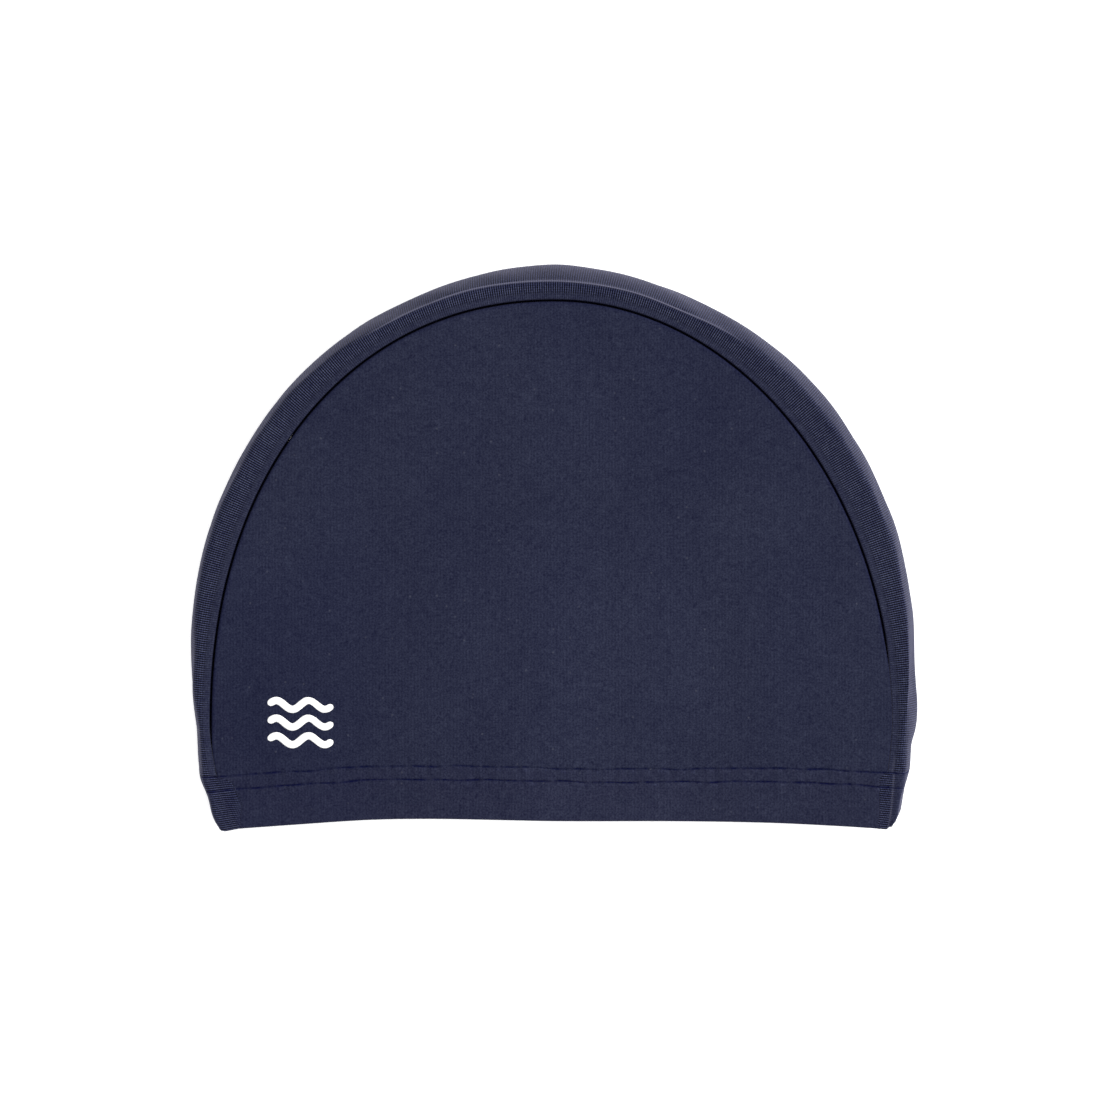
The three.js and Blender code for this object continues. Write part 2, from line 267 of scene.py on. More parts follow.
def table_value(columns, rows, column, place):
    """One column of a table at a place between its rows, on a smooth curve through them."""
    table = np.array(rows, float)
    key, value = table[:, 0], table[:, columns.index(column)]
    before, after = np.maximum(np.arange(len(key)) - 1, 0), np.minimum(np.arange(len(key)) + 1, len(key) - 1)
    slope = (value[after] - value[before]) / (key[after] - key[before])
    i = np.clip(np.searchsorted(key, place), 1, len(key) - 1)
    span = key[i] - key[i - 1]
    t = np.clip((place - key[i - 1]) / span, 0, 1)
    bend = t * (1 - t) ** 2 * slope[i - 1] - t * t * (1 - t) * slope[i]
    return mix(value[i - 1], value[i], t * t * (3 - 2 * t)) + span * bend


def uneven(place, seed, longest, shortest, waves=9):
    """A smooth irregular value from about -1 to 1 along a line."""
    chance = np.random.default_rng(seed)
    lengths = np.geomspace(longest, shortest, waves)
    turns = chance.uniform(0, 2 * np.pi, waves)
    return sum(np.sin(2 * np.pi * place / l + t) for l, t in zip(lengths, turns)) / np.sqrt(waves)


def ripple(x, y):
    """The slight waviness of cloth that lies loose."""
    return RIPPLE * (
        uneven(x + 0.4 * y, 3, 90 * MM, 24 * MM, 5) + uneven(y - 0.3 * x, 4, 70 * MM, 20 * MM, 5)
    )


def half_shape(on_left):
    """The measures of the seam's left or right half, for each point."""
    return {key: np.where(on_left, LEFT[key], RIGHT[key]) for key in LEFT}


def seam_curve(t):
    """Points of the near seam in plan, for t from 0 at the left end of the rim to 1 at the right end."""
    from_end = np.minimum(t, 1 - t)
    half = half_shape(t < 0.5)
    down = np.clip(1 - from_end / LEG_SHARE, 0, 1)
    angle = np.pi / 2 * np.clip((from_end - LEG_SHARE) / (0.5 - LEG_SHARE), 0, 1)
    reach = half["reach"] * np.cos(angle).clip(0) ** (2 / half["power"])
    across = reach - half["lean"] * down ** half["bend"]
    rise = np.sin(angle).clip(0) ** (2 / half["power"])
    y = SPRING_LINE + (CROWN_LINE - SPRING_LINE) * rise + (RIM_LINE - SPRING_LINE) * down
    return np.stack([SEAM_MIDDLE + half["side"] * across, y], axis=-1)


CURVE_PLACES = np.linspace(0, 1, SEAM_SAMPLES + 1)
CURVE_LENGTHS = np.concatenate(
    [[0], np.cumsum(np.linalg.norm(np.diff(seam_curve(CURVE_PLACES), axis=0), axis=1))]
)
SEAM_LENGTH = CURVE_LENGTHS[-1]


def seam_point(along):
    return seam_curve(np.interp(along, CURVE_LENGTHS / SEAM_LENGTH, CURVE_PLACES))


def seam_normal(along):
    """The direction in plan that points squarely away from the panel."""
    step = 1 / SEAM_SAMPLES
    course = seam_point(np.minimum(along + step, 1)) - seam_point(np.maximum(along - step, 0))
    normal = np.stack([-course[..., 1], course[..., 0]], axis=-1)
    return normal / np.linalg.norm(normal, axis=-1, keepdims=True)


def outward(along):
    """The direction in which the band leaves the panel. On the legs it leans less than the seam."""
    direction, point = seam_normal(along), seam_point(along)
    turn = np.where(point[..., 0] < SEAM_MIDDLE, LEFT["turn"], RIGHT["turn"])
    direction[..., 1] *= np.where(point[..., 1] < SPRING_LINE, turn, 1)
    return direction / np.linalg.norm(direction, axis=-1, keepdims=True)


def seam_open(along):
    return smooth(*OPENS_LEFT, along) * (1 - smooth(*SHUTS_RIGHT, along))


def seam_gap(along):
    """Half the width between the two sewn edges, and how wide the roll beside the seam is."""
    opened = seam_open(along)
    return mix(SLOT_SHUT, SLOT_OPEN, opened), mix(ROLL_SHUT, ROLL_OPEN, opened)


def seam_height(y):
    return mix(RIM_HEIGHT, CROWN_HEIGHT, (y - RIM_LINE) / (CROWN_LINE - RIM_LINE))


def near_height(x, y):
    """Height of the near side between its seams, where the cloth hangs a little lower."""
    half = half_shape(x < SEAM_MIDDLE)
    up = np.clip((y - SPRING_LINE) / (CROWN_LINE - SPRING_LINE), 0, 1)
    down = np.clip((y - SPRING_LINE) / (RIM_LINE - SPRING_LINE), 0, None)
    reach = half["reach"] * (1 - up ** half["power"]) ** (1 / half["power"])
    width = reach - half["lean"] * down ** half["bend"]
    sideways = np.minimum(1, np.abs(x - SEAM_MIDDLE) / np.maximum(width, 1.6 * MM))
    inside = 1 - sideways**2
    sag = NEAR_SAG * inside * (1 - up**SAG_POWER)
    return seam_height(y) - sag + ripple(x, y) * np.minimum(1, 4 * inside)


def hump(distance, place, width):
    return np.exp(-(((distance - place) / width) ** 2))


def row_pull(distance, place):
    """How far a row of stitches pulls the cloth in, at a distance from it and a place along it."""
    pucker = PUCKER * uneven(place, 12, 9 * MM, 3 * MM, 5) * hump(distance, 0, PUCKER_WIDTH)
    return ROW_DEPTH * row_groove(distance, place) + pucker


def row_groove(distance, place):
    least, chance, more = ROW_STRENGTH
    strength = least + chance * uneven(place, 11, 23 * MM, 2.6 * MM) + more * smooth(*ROW_ENDS, np.abs(place))
    return np.clip(strength, *ROW_LIMITS) * hump(distance, 0, ROW_WIDTH)


def row_tone(below, place):
    """How light the cloth looks beside a row: painted shade in its groove, and painted highlights on the
    puckers below it.
    """
    pale = np.clip(uneven(place, 21, 11 * MM, 1.6 * MM, 7), 0, 1.6) * hump(below, PALE_PLACE, PALE_WIDTH)
    return 1 - ROW_DARK * np.clip(row_groove(below, place), 0, 1) + PALE_TONE * pale


def broad_tone(points):
    x, y = points[..., 0], points[..., 1]
    return 1 + sum(
        share * hump(x, at, wide) * smooth(none, full, y) for at, wide, share, none, full in BROAD_TONES
    )


def row_place(points):
    return points[..., 0] + 1.7 * points[..., 2]


def roll_points():
    """Shares of the roll beside a seam, from the sewn edge out to the flat cloth, and how far each sinks."""
    turn = np.linspace(0, np.pi / 2, ROLL_POINTS)
    return 1 - np.cos(turn), 1 - np.sin(turn)


def band_surface(along, turned_in=True):
    """Outer points of the band, a row for each place along it and a column for each point across it: in
    from the sewn edge, over the near fold, down the bulging wall to the far fold and along the floor to
    the far seam. The middle of a cubic curve is an eighth of its ends and six eighths of its shaping
    points, which gives the bulge."""
    along = np.asarray(along, float)[:, None]
    seam, out = seam_point(along), outward(along)
    reach, fold, ease = (
        table_value(BAND_COLUMNS, BAND_SECTIONS, name, along) * MM for name in BAND_COLUMNS[1:]
    )
    strip = reach - fold
    ease = np.minimum(ease, 0.4 * strip)
    far_in = (out * FAR_SHIFT).sum(-1)
    foot = strip + far_in
    base = seam_height(seam[..., 1])
    top = seam_height(seam[..., 1] + out[..., 1] * strip) + FOLD_RIDGE
    bulge = (8 * reach - strip - foot) / 6
    wall_xs, wall_zs = (strip, bulge, bulge, foot), (top, top * WALL_UPPER, top * WALL_LOWER, 0 * top)
    slot, roll = seam_gap(along)

    def strip_height(distance):
        return mix(base, top, (distance / strip) ** RIDGE_POWER)

    def wall(t):
        shares = ((1 - t) ** 3, 3 * t * (1 - t) ** 2, 3 * t * t * (1 - t), t**3)
        return sum(s * x for s, x in zip(shares, wall_xs)), sum(s * z for s, z in zip(shares, wall_zs))

    def slant(a, b):
        return 3 * np.hypot(wall_xs[a] - wall_xs[b], wall_zs[a] - wall_zs[b])

    def corner(start, middle, end):
        t = np.linspace(0, 1, FOLD_POINTS)
        shares = ((1 - t) ** 2, 2 * t * (1 - t), t * t)
        return [sum(s * p[i] for s, p in zip(shares, (start, middle, end))) for i in (0, 1)]

    out_of, sunk = roll_points()
    depths = SEWN_DEPTHS[::-1]
    leave = ease / slant(0, 1)
    arrive = 1 - FAR_EASE / slant(2, 3)
    flat = np.linspace(0, 1, FLAT_POINTS + 2)[1:-1]
    down = mix(leave, arrive, np.linspace(0, 1, WALL_POINTS + 2)[1:-1])
    turning = np.linspace(0, 1, FOLD_POINTS)

    near_edge = slot + roll * out_of
    strip_run = mix(slot + roll, strip - ease, flat)
    near_fold = corner((strip - ease, strip_height(strip - ease)), (strip, top), wall(leave))
    far_fold = corner(wall(arrive), (foot, 0 * top), (foot - FAR_EASE, 0 * top))
    far_run = mix(foot - FAR_EASE, far_in + slot + roll, flat)
    parts = [
        (near_edge, strip_height(near_edge) - (SEAM_DEPTH * sunk if turned_in else 0), 0),
        (strip_run, strip_height(strip_run), 0),
        (*near_fold, leave * turning),
        (*wall(down), down),
        (*far_fold, mix(arrive, 1, turning)),
        (far_run, 0, 1),
        (far_in + near_edge[:, ::-1], SEAM_DEPTH * sunk[::-1], 1),
    ]
    if turned_in:
        low = SEAM_DEPTH + ALLOWANCE * depths
        sewn = mix(slot, SLOT_SHUT, depths == 1)
        parts.insert(0, (sewn, base - low, 0))
        parts.append((far_in + sewn[:, ::-1], low[::-1], 1))
    parts = [np.broadcast_arrays(*part, along)[:3] for part in parts]
    distance, height, far = (np.concatenate(run, axis=1) for run in zip(*parts))
    aside = FAR_SHIFT - out * far_in[..., None]
    plan = seam + out * distance[..., None] + aside * far[..., None]
    return np.concatenate([plan, height[..., None]], axis=-1)


def across_cloth(points):
    """Distance over the cloth along each row of a grid, from its first point."""
    steps = np.linalg.norm(np.diff(points, axis=1), axis=-1)
    return np.concatenate([np.zeros((len(points), 1)), np.cumsum(steps, axis=1)], axis=1)


def hem_line(across, up):
    """Points of the near side's hem in plan: across is 0 at the left seam and 1 at the right one, up is 0
    at the rim and 1 at the upper stitch row."""
    left, right = seam_point(HEM_SHARE * up), seam_point(1 - HEM_SHARE * up)

    def row_at(x):
        rim, top = (table_value(HEM_COLUMNS, HEM_SECTIONS, name, x / MM) * MM for name in ("rim", "top"))
        stray = ROW_WANDER * uneven(x + 40 * MM * up, 41, 70 * MM, 14 * MM, 5) * smooth(0.3, 0.7, up)
        return mix(rim, top, up) + stray

    x = mix(left[..., 0], right[..., 0], across)
    off_left, off_right = left[..., 1] - row_at(left[..., 0]), right[..., 1] - row_at(right[..., 0])
    return np.stack([x, row_at(x) + mix(off_left, off_right, across)], axis=-1)


def seam_stations():
    """Places along the seam between the two ends of the hem, finer beside them."""
    near_row = BAND_BY_ROW / SEAM_LENGTH
    run = np.linspace(HEM_SHARE, 1 - HEM_SHARE, BAND_STATIONS)
    return np.concatenate([run[:1], run[0] + near_row, run[1:-1], run[-1] - near_row[::-1], run[-1:]])


def hem_places():
    """Shares of the way across the hem: finer beside the seams, where the cloth rolls down."""
    roll = (SLOT_SHUT + ROLL_SHUT * roll_points()[0]) / (LEFT["reach"] + RIGHT["reach"])
    inner = np.linspace(roll[-1], 1 - roll[-1], HEM_STEPS)[1:-1]
    return np.concatenate([roll, inner, 1 - roll[::-1]])


def normals(lengthways, crossways):
    """Unit normals of a grid whose rows and columns turn anticlockwise seen from outside."""
    facing = np.cross(lengthways, crossways)
    return facing / np.maximum(np.linalg.norm(facing, axis=-1, keepdims=True), 1e-12)


def round_gradient(points):
    """Differences along each row of a grid whose rows are closed rings."""
    return np.roll(points, -1, axis=1) - np.roll(points, 1, axis=1)


def grid_faces(rows, columns, start, close_rows=False, close_columns=False):
    """Quads of a grid of vertices numbered from start, row by row."""
    index = start + np.arange(rows * columns).reshape(rows, columns)
    if close_rows:
        index = np.vstack([index, index[:1]])
    if close_columns:
        index = np.hstack([index, index[:, :1]])
    corners = (index[:-1, :-1], index[1:, :-1], index[1:, 1:], index[:-1, 1:])
    return np.stack([c.ravel() for c in corners], axis=1)


def round_border(index):
    """The vertex numbers all the way round a grid's border."""
    return np.concatenate([index[0, :-1], index[:-1, -1], index[-1, :0:-1], index[::-1, 0]])


def rim_faces(loop, step):
    """Quads from a loop of vertices to the same loop on the sheet's back, which is numbered step higher."""
    return np.stack([loop[:-1], loop[1:], loop[1:] + step, loop[:-1] + step], axis=1)


PANEL_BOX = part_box("side_panel_near")
PLAN_TO_FRAME = np.array([
    (PANEL_BOX[0].x + PANEL_BOX[1].x) / 2 - SEAM_MIDDLE - (RIGHT["reach"] - LEFT["reach"]) / 2,
    PANEL_BOX[1].y - CROWN_LINE,
    0,
])


def new_mesh(name, points, edges, faces):
    mesh = bpy.data.meshes.new(name)
    mesh.from_pydata(points, edges, faces)
    return mesh


def placed(name, data):
    """A new object in the scene."""
    thing = bpy.data.objects.new(name, data)
    bpy.context.collection.objects.link(thing)
    return thing


def cloth_piece(name, vertices, faces, knit, marks):
    """A mesh on the frame with smooth faces, its knit coordinates and its painted marks, by vertex."""
    mesh = new_mesh(name, (vertices + PLAN_TO_FRAME).tolist(), [], faces.tolist())
    corner_vertex = np.zeros(len(mesh.loops), np.int64)
    mesh.loops.foreach_get("vertex_index", corner_vertex)
    layer = mesh.uv_layers.new(name="knit")
    layer.data.foreach_set("uv", knit.reshape(-1, 2)[corner_vertex].astype(np.float32).ravel())
    for key, values in marks.items():
        attribute = mesh.attributes.new(key, "FLOAT", "POINT")
        attribute.data.foreach_set("value", np.broadcast_to(values, len(vertices)).astype(np.float32))
    work = bmesh.new()
    work.from_mesh(mesh)
    bmesh.ops.remove_doubles(work, verts=work.verts, dist=1e-7)
    work.to_mesh(mesh)
    work.free()
    mesh.shade_smooth()
    return placed(name, mesh)


def cloth_sheet(name, outer, facing, knit, marks, ring=False):
    """A closed sheet of cloth behind a grid of outer points, as thick as the cloth."""
    rows, columns = outer.shape[:2]
    inner = outer - facing * CLOTH
    front = grid_faces(rows, columns, 0, close_columns=ring)
    back = grid_faces(rows, columns, rows * columns, close_columns=ring)[:, ::-1]
    index = np.arange(rows * columns).reshape(rows, columns)
    if ring:
        index = np.hstack([index, index[:, :1]])
    loops = [index[0], index[-1, ::-1]] if ring else [round_border(index)]
    rims = [rim_faces(loop, rows * columns) for loop in loops]
    vertices = np.concatenate([outer.reshape(-1, 3), inner.reshape(-1, 3)])
    both = {key: np.tile(np.broadcast_to(value, (rows, columns)).ravel(), 2) for key, value in marks.items()}
    return cloth_piece(
        name, vertices, np.concatenate([front, back, *rims]), np.tile(knit.reshape(-1, 2), (2, 1)), both
    )


def centre_band():
    """The band, from the top of the hem at the left over the crown to the hem at the right."""
    along = seam_stations()
    outer = band_surface(along)
    facing = normals(np.gradient(outer, axis=0), np.gradient(outer, axis=1))
    from_row = (np.minimum(along, 1 - along) - HEM_SHARE)[:, None] * SEAM_LENGTH
    down = np.clip((np.arange(outer.shape[1]) - FOLD_COLUMN) / (FAR_COLUMN - FOLD_COLUMN), 0, 1)
    dent = uneven(along[:, None] * SEAM_LENGTH + 30 * MM * down, 31, 80 * MM, 20 * MM, 6)
    dent = WALL_SLACK * dent * np.sin(2 * np.pi * down) * smooth(0, 15 * MM, from_row)
    place = row_place(outer)
    outer = outer - facing * (row_pull(from_row, place) + dent)[..., None]
    outer[..., 2] = np.maximum(outer[..., 2], 0)
    distance = across_cloth(outer)
    turned = ALLOWANCE + SEAM_DEPTH
    from_seam = np.minimum(distance, distance[:, -1:] - distance) - turned
    knit = np.stack(
        [np.broadcast_to(along[:, None] * SEAM_LENGTH / RIB_PITCH, distance.shape), distance / COURSE_PITCH],
        axis=-1,
    )
    fold = distance[:, FOLD_COLUMN][:, None]
    # Where along the seam the fold is sharp, with its painted highlight and wear and the painted shade inside
    # it
    sharp = (smooth(*HIGHLIGHT_AND_WEAR_FROM, along) * smooth(*HIGHLIGHT_AND_WEAR_TO, along))[:, None]
    beyond = distance - fold
    # Painted highlight beside the seam, and painted light down the left leg
    pale = PALE_STRIP[2] * hump(from_seam, *PALE_STRIP[:2]) + LEG_TONE * smooth(*LEG_PALE, along)[:, None]
    # Painted shade just inside the sharp fold
    dark = DARK_STRIP[2] * sharp * hump(-beyond, *DARK_STRIP[:2])
    # Painted shade down in the seam
    deep = BAND_DEEP[0] * mix(SHUT_SHARE, 1, seam_open(along)[:, None]) * smooth(*BAND_DEEP[1:], from_seam)
    # A painted highlight along the crease, above the hem's right end
    crease = hump(distance, turned - SEAM_DEPTH + HEM_CREASE[1], FOLD_LINE_WIDTH)
    crease = smooth(*CREASE_RISE, along)[:, None] * crease
    # Painted light on the right leg's wall past the fold
    flare = (smooth(*FLARE[:2], along) * smooth(*FLARE[2:], along))[:, None]
    flare = flare * smooth(0, FLARE_WIDTHS[0], beyond) * smooth(*FLARE_WIDTHS[1:], beyond)
    rib = mix(RIB_LEAST, 1, smooth(*RIBS_START, from_seam)) * (1 - RIB_LOSS * smooth(0, 1 * MM, beyond))
    # The shade mark holds painted shade in the seam, inside the fold and in the row, and painted highlights
    # beside the seam, down the left leg and on the puckers
    marks = {
        "rib": rib,
        "shade": (1 - deep) * (1 + pale - dark) * row_tone(-from_row, place),
        "highlight_and_wear": sharp * hump(distance, fold, FOLD_LINE_WIDTH) + CREASE_HIGHLIGHT[1] * crease + FLARE_LIGHT * flare,
    }
    return cloth_sheet("band_cloth", outer, facing, knit, marks)


def side_panel(name, far):
    """A side panel in rings from its middle to its edge, which follows the seam from the left over the
    crown to the right and goes back along the upper stitch row of the hem."""
    along = seam_stations()
    slot, roll = seam_gap(along)
    sewn = seam_point(along) - seam_normal(along) * slot[:, None]
    across = hem_places()[::-1]
    keep = (across > 0.002) & (across < 0.998)
    lower = hem_line(across[keep], np.array(1.0))
    edge = np.concatenate([sewn, lower])
    square = np.concatenate([seam_normal(along), np.tile([0.0, -1.0], (len(lower), 1))])
    roll = np.concatenate([roll, np.full(len(lower), ROLL_SHUT)])
    on_seam = np.concatenate([np.ones(len(along)), np.zeros(len(lower))])
    gap = np.concatenate([slot - SLOT_SHUT, np.zeros(len(lower))])
    if not far:
        edge, square, roll, on_seam, gap = (part[::-1] for part in (edge, square, roll, on_seam, gap))

    spoke = edge - PANEL_MIDDLE
    depth = (spoke * square).sum(-1)
    from_edge = [roll * share for share in roll_points()[0][::-1]]
    from_edge = [mix(by_row, by_seam, on_seam) * MM for by_row, by_seam in EDGE_RINGS] + from_edge
    shares = [1 - d / depth for d in from_edge]
    shares = [shares[0] * s for s in np.linspace(0, 1, PANEL_RINGS + 1)[:-1]] + shares
    rings = [PANEL_MIDDLE + spoke * share[:, None] for share in shares]
    plan = np.stack(rings + [edge, edge, edge + square * gap[:, None]])
    turned = np.append(np.zeros(len(rings)), SEWN_DEPTHS)[:, None] * mix(0.03 * MM, ALLOWANCE, on_seam)

    inside = seam_inset(plan)
    sunk = np.where(on_seam > 0, roll_drop(inside[0], inside[1]), 0)
    from_row = plan[..., 1] - hem_line(hem_share(plan[..., 0]), np.array(1.0))[..., 1]
    clear, opened = np.where(on_seam > 0, inside[0], 1) - turned, seam_open(inside[1])
    # Painted shade down in the seam and, fainter, on the panel beside it
    deep = PANEL_DEEP[0] * mix(SHUT_SHARE, 1, opened) * smooth(*PANEL_DEEP[1:], clear)
    shade = 1 - deep - PANEL_DIM[0] * opened * smooth(*PANEL_DIM[1:], clear)
    if far:
        plan = plan + FAR_SHIFT
        height = sunk + turned
    else:
        height = near_height(plan[..., 0], plan[..., 1]) - sunk - turned
        # Broad painted light and shade over the near side
        shade = shade * broad_tone(plan)
    outer = np.concatenate([plan, height[..., None]], axis=-1)
    facing = normals(np.gradient(outer, axis=0), round_gradient(outer))
    facing[0] = (0, 0, -1 if far else 1)
    place = row_place(outer)
    outer[..., 2] += (1 if far else -1) * row_pull(from_row, place)
    outer[..., 2] = np.maximum(outer[..., 2], 0)
    knit = outer[..., :2] / (WALE_PITCH, COURSE_PITCH)
    # The shade mark holds painted shade in the seam and the row's groove, painted highlights on the puckers
    # and, on the near panel, the broad painted light and shade
    marks = {"rib": 0.0, "shade": shade * row_tone(-from_row, place)}
    return cloth_sheet(name, outer, facing, knit, marks, ring=True)


def seam_inset(plan):
    """How far points in plan lie inside the near seam, and the share of the seam beside each."""
    along = np.linspace(0, 1, 600)
    points, square = seam_point(along), seam_normal(along)
    nearest = ((plan[..., None, :] - points) ** 2).sum(-1).argmin(-1)
    return ((points[nearest] - plan) * square[nearest]).sum(-1), along[nearest]


def roll_drop(inset, along):
    """How far the cloth sinks beside the seam."""
    slot, roll = seam_gap(along)
    left = np.clip(1 - (inset - slot) / roll, 0, 1)
    return SEAM_DEPTH * (1 - np.sqrt(1 - left**2))


def hem_share(x):
    left, right = seam_point(np.array(HEM_SHARE))[0], seam_point(np.array(1 - HEM_SHARE))[0]
    return np.clip((x - left) / (right - left), 0, 1)


def hem_surface(ups):
    """Points of the hem's outer face, a row for each height and a column for each place round it: across
    the near side, down the band's right end, back under the far side and up the band's left end."""
    ups = np.asarray(ups, float)
    across = hem_places()
    left_in, right_in = (
        table_value(HEM_SEAM_COLUMNS, HEM_SEAM, side, ups)[:, None] * MM / (LEFT["reach"] + RIGHT["reach"])
        for side in ("left", "right")
    )
    near_across = np.hstack([
        left_in * STRIP_SHARES, mix(left_in, 1 - right_in, across), 1 - right_in * STRIP_SHARES[::-1]])
    sunk = SEAM_DEPTH * np.concatenate(
        [roll_points()[1], np.zeros(HEM_STEPS - 2), roll_points()[1][::-1]])
    near_sunk = np.concatenate([SEAM_DEPTH * STRIP_SINKS, sunk, SEAM_DEPTH * STRIP_SINKS[::-1]])
    plan = hem_line(near_across, ups[:, None])
    near_height_here = near_height(plan[..., 0], plan[..., 1]) - HEM_SINK * near_sunk
    near = np.concatenate([plan, near_height_here[..., None]], axis=-1)
    plan = hem_line(across[None, :], ups[:, None])
    under = np.concatenate([plan + FAR_SHIFT, np.broadcast_to(sunk, plan.shape[:2])[..., None]], axis=-1)
    right = band_surface(1 - HEM_SHARE * ups, turned_in=False)
    outside = right[..., 0] - seam_point(1 - HEM_SHARE * ups)[:, None, 0]
    for start, end, lift in CORNER_LIFTS:
        right[..., 1] += lift * smooth(CORNER_UP, 0, ups)[:, None] * smooth(start, end, outside)
    left = band_surface(HEM_SHARE * ups, turned_in=False)
    return np.concatenate([near, right, under[:, ::-1], left[:, ::-1]], axis=1)


def hem_section():
    """Heights and depths of the hem's cloth in section: down the outer face, round the folded rim and up the
    inner face to the turned-up edge, then back between the two plies."""
    near_row = HEM_BY_ROW / HEM_HEIGHT
    round_row = np.concatenate([-near_row[:0:-1], near_row])
    middle = CLOTH + PLY_GAP / 2
    turn = middle / HEM_HEIGHT
    face = np.concatenate([1 - near_row, LOWER_ROW - round_row, np.linspace(0.58, 2 * turn, 9)])
    arc = np.linspace(0, np.pi, 9)
    tight = np.linspace(np.pi, 0, 5)
    inner = np.linspace(2 * turn, HEM_EDGE, 14)
    back = np.linspace(1, 2 * turn, 8)
    parts = [
        (face, 0 * face),
        (turn * (1 - np.sin(arc)), middle * (1 - np.cos(arc))),
        (inner, 2 * middle + 0 * inner),
        (inner[::-2], CLOTH + PLY_GAP + 0 * inner[::-2]),
        (turn - PLY_GAP / 2 / HEM_HEIGHT * np.sin(tight), middle - PLY_GAP / 2 * np.cos(tight)),
        (back[::-1], CLOTH + 0 * back),
    ]
    return [np.concatenate(run) for run in zip(*parts)]


def hem_ring():
    """The doubled hem, with the lines that its stitches follow on the outer and the inner face."""
    ups, depths = hem_section()
    step = 0.01
    base = hem_surface(ups)
    lengthways = hem_surface(np.maximum(ups - step, 0)) - hem_surface(ups + step)
    facing = normals(lengthways, round_gradient(base))
    place = row_place(base)
    rows = [(row - ups[:, None]) * HEM_HEIGHT for row in (1, LOWER_ROW)]
    outside = (depths < CLOTH)[:, None]
    pull = np.where(outside, row_pull(rows[0], place) + row_pull(rows[1], place + ROW_SHIFT), 0)
    outer = base - facing * (depths[:, None] + pull)[..., None]
    outer[..., 2] = np.maximum(outer[..., 2], 0)

    places, edge = len(hem_places()), len(STRIP_SHARES)
    strip = (base.shape[1] - 2 * places - 2 * edge) // 2
    runs = (edge, places, edge + strip, places, strip)
    on_band, side = np.repeat((1, 0, 1, 0, 1), runs), np.repeat((0, 0, 1, 0, 0), runs)
    along = mix(HEM_SHARE * ups[:, None], 1 - HEM_SHARE * ups[:, None], side)
    run = across_cloth(base)
    knit = np.where(
        on_band[None, :, None] > 0,
        np.stack([along * SEAM_LENGTH / RIB_PITCH, run / COURSE_PITCH], axis=-1),
        base[..., :2] / (WALE_PITCH, COURSE_PITCH),
    )
    count = outer.shape[0] * outer.shape[1]
    crease = run[:, places + 2 * edge][:, None] + mix(*HEM_CREASE, ups[:, None])
    # Painted shade in the rows' grooves, painted highlights on the puckers, and the broad painted light and
    # shade over the near side
    tone = row_tone(rows[0], place) * row_tone(rows[1], place + ROW_SHIFT)
    tone = tone * np.where(np.arange(outer.shape[1]) < places + 2 * edge, broad_tone(base), 1)
    past = run - crease
    calm = CALM_SHARE * side * smooth(0, CALM[0], past) * smooth(*CALM[1:], past)
    marks = {
        "rib": (HEM_RIBS * on_band * (1 - calm)).ravel(),
        "shade": np.where(outside, tone, 1).ravel(),
        # A painted highlight along the crease in the hem
        "highlight_and_wear": (np.where(outside, CREASE_HIGHLIGHT[0], 0) * hump(past, 0, FOLD_LINE_WIDTH)).ravel(),
    }
    faces = grid_faces(*outer.shape[:2], 0, close_rows=True, close_columns=True)
    piece = cloth_piece("hem_cloth", outer.reshape(count, 3), faces, knit.reshape(count, 2), marks)

    lines = {}
    for key, height, depth in (
        ("upper", 1, 0), ("lower", LOWER_ROW, 0), ("inside", (1 + LOWER_ROW) / 2, 2 * CLOTH + PLY_GAP)
    ):
        level = int(np.argmin(np.abs(ups - height) + 1000 * np.abs(depths - depth)))
        away = facing[level] * (1 if depth == 0 else -1)
        if depth:
            away = sum(np.roll(away, step, axis=0) for step in range(-LOOP_EASE, LOOP_EASE + 1))
            away /= np.linalg.norm(away, axis=-1, keepdims=True)
        lines[key] = (outer[level], away)
    return piece, lines


def print_film():
    """Three plain waves of thin film on the near panel, as one mesh."""
    steps, sides = 90, 7
    t = np.linspace(0, 1, steps)
    turn = 2 * np.pi / WAVE_LENGTH
    meshes, faces = [], []
    length = 2 * WAVE_LENGTH
    half = WAVE_WIDTH / 2
    for number in range(WAVES):
        x = mix(-length / 2, length / 2, t)
        y = WAVE_HEIGHT * np.sin(turn * x) + WAVE_STEP * (number - (WAVES - 1) / 2)
        slope = WAVE_HEIGHT * turn * np.cos(turn * x)
        aside = np.stack([-slope, np.ones(steps)], axis=-1) / np.hypot(slope, 1)[:, None]
        end = np.minimum(x - x[0], x[-1] - x)
        wide = np.sqrt(np.clip(1 - (1 - np.minimum(end / half, 1)) ** 2, 1e-4, 1)) * half
        offset = np.linspace(-1, 1, sides)
        plan = np.stack([x, y], axis=-1)[:, None] + aside[:, None] * (wide[:, None] * offset)[..., None]
        plan = plan + PRINT_PLACE
        cloth = near_height(plan[..., 0], plan[..., 1])
        face = np.concatenate([plan, cloth[..., None] + FILM * (1 - offset**4)[None, :, None]], axis=-1)
        back = face - (0, 0, 2 * FILM)
        start = sum(len(m) for m in meshes)
        index = np.arange(steps * sides).reshape(steps, sides)
        rim = rim_faces(round_border(index), index.size)
        front = grid_faces(steps, sides, 0)
        faces.append(start + np.concatenate([front, front[:, ::-1] + index.size, rim]))
        meshes.append(np.concatenate([face.reshape(-1, 3), back.reshape(-1, 3)]))
    vertices = np.concatenate(meshes)
    knit = vertices[:, :2] / (WALE_PITCH, COURSE_PITCH)
    return cloth_piece("wave_print", vertices, np.concatenate(faces), knit, {"rib": 0.0})


def operator(operation):
    return lambda value, other: value.math(operation, other)


